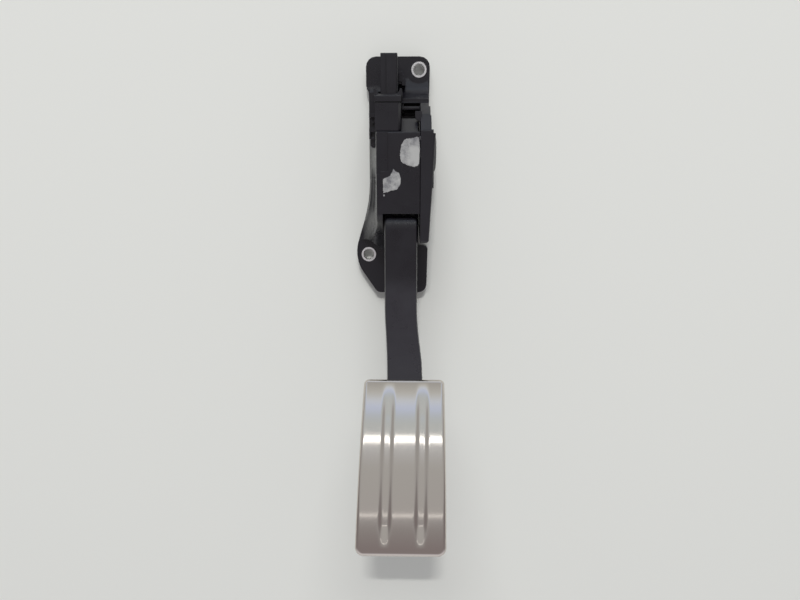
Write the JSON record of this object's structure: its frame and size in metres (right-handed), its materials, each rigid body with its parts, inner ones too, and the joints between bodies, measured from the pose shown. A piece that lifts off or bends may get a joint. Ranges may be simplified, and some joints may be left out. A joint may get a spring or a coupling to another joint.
{
  "type": "accelerator pedal",
  "caption": "Electronic accelerator pedal: curved arm with a grooved metal pad, hinged in a ribbed moulded housing with mounting plate, return springs and position sensor with plug socket.",
  "frame": {"origin": "midpoint between the two mounting holes, on the flat mounting face", "axes": "+X across the plate to the side cover, +Y up the plate towards the plug socket, +Z out of the mounting face towards the driver"},
  "size_m": [0.0567, 0.2836, 0.1102],
  "materials": {
    "black_plastic": "moulded, fine grain",
    "cover_plastic": "moulded, fine grain",
    "sensor_plastic": "moulded, smooth",
    "light_plastic": "natural, smooth",
    "pad_metal": "pressed sheet, satin",
    "steel": "turned, bright",
    "spring_steel": "oiled wire",
    "bronze": "plain",
    "terminal_metal": "plated",
    "friction_lining": "pressed lining",
    "magnet": "plated",
    "board": "lacquered laminate",
    "chip": "moulded",
    "rubber": "plain"
  },
  "bodies": {
    "base": {"housing": "black_plastic", "side_cover": "cover_plastic", "cover_screws": "steel", "upper_bushing": "steel", "lower_bushing": "steel", "pivot_pin": "steel", "sensor_body": "sensor_plastic", "sensor_lid": "cover_plastic", "circuit_board": "board", "sensor_chips": "chip", "terminals": "terminal_metal", "spring_seat": "light_plastic", "rest_stop": "rubber", "full_stop": "rubber", "wave_washer": "spring_steel", "outer_spring": "spring_steel", "inner_spring": "spring_steel"},
    "pedal": {"pedal_arm": "black_plastic", "left_bush": "bronze", "right_bush": "bronze", "friction_washer": "friction_lining", "magnet_holder": "sensor_plastic", "magnets": "magnet", "spring_cup": "light_plastic", "pad_carrier": "black_plastic", "pad_cap": "pad_metal", "pad_screws": "steel"}
  },
  "joints": [
    {"name": "pedal_hinge", "type": "hinge", "parent": "base", "child": "pedal", "pos_m": [0, 0.007, 0.024], "axis": [1, 0, 0], "range_deg": [0, 16], "stiffness_Nm_per_rad": 3, "springref_deg": -51.57, "deforming": ["outer_spring", "inner_spring"]}
  ]
}
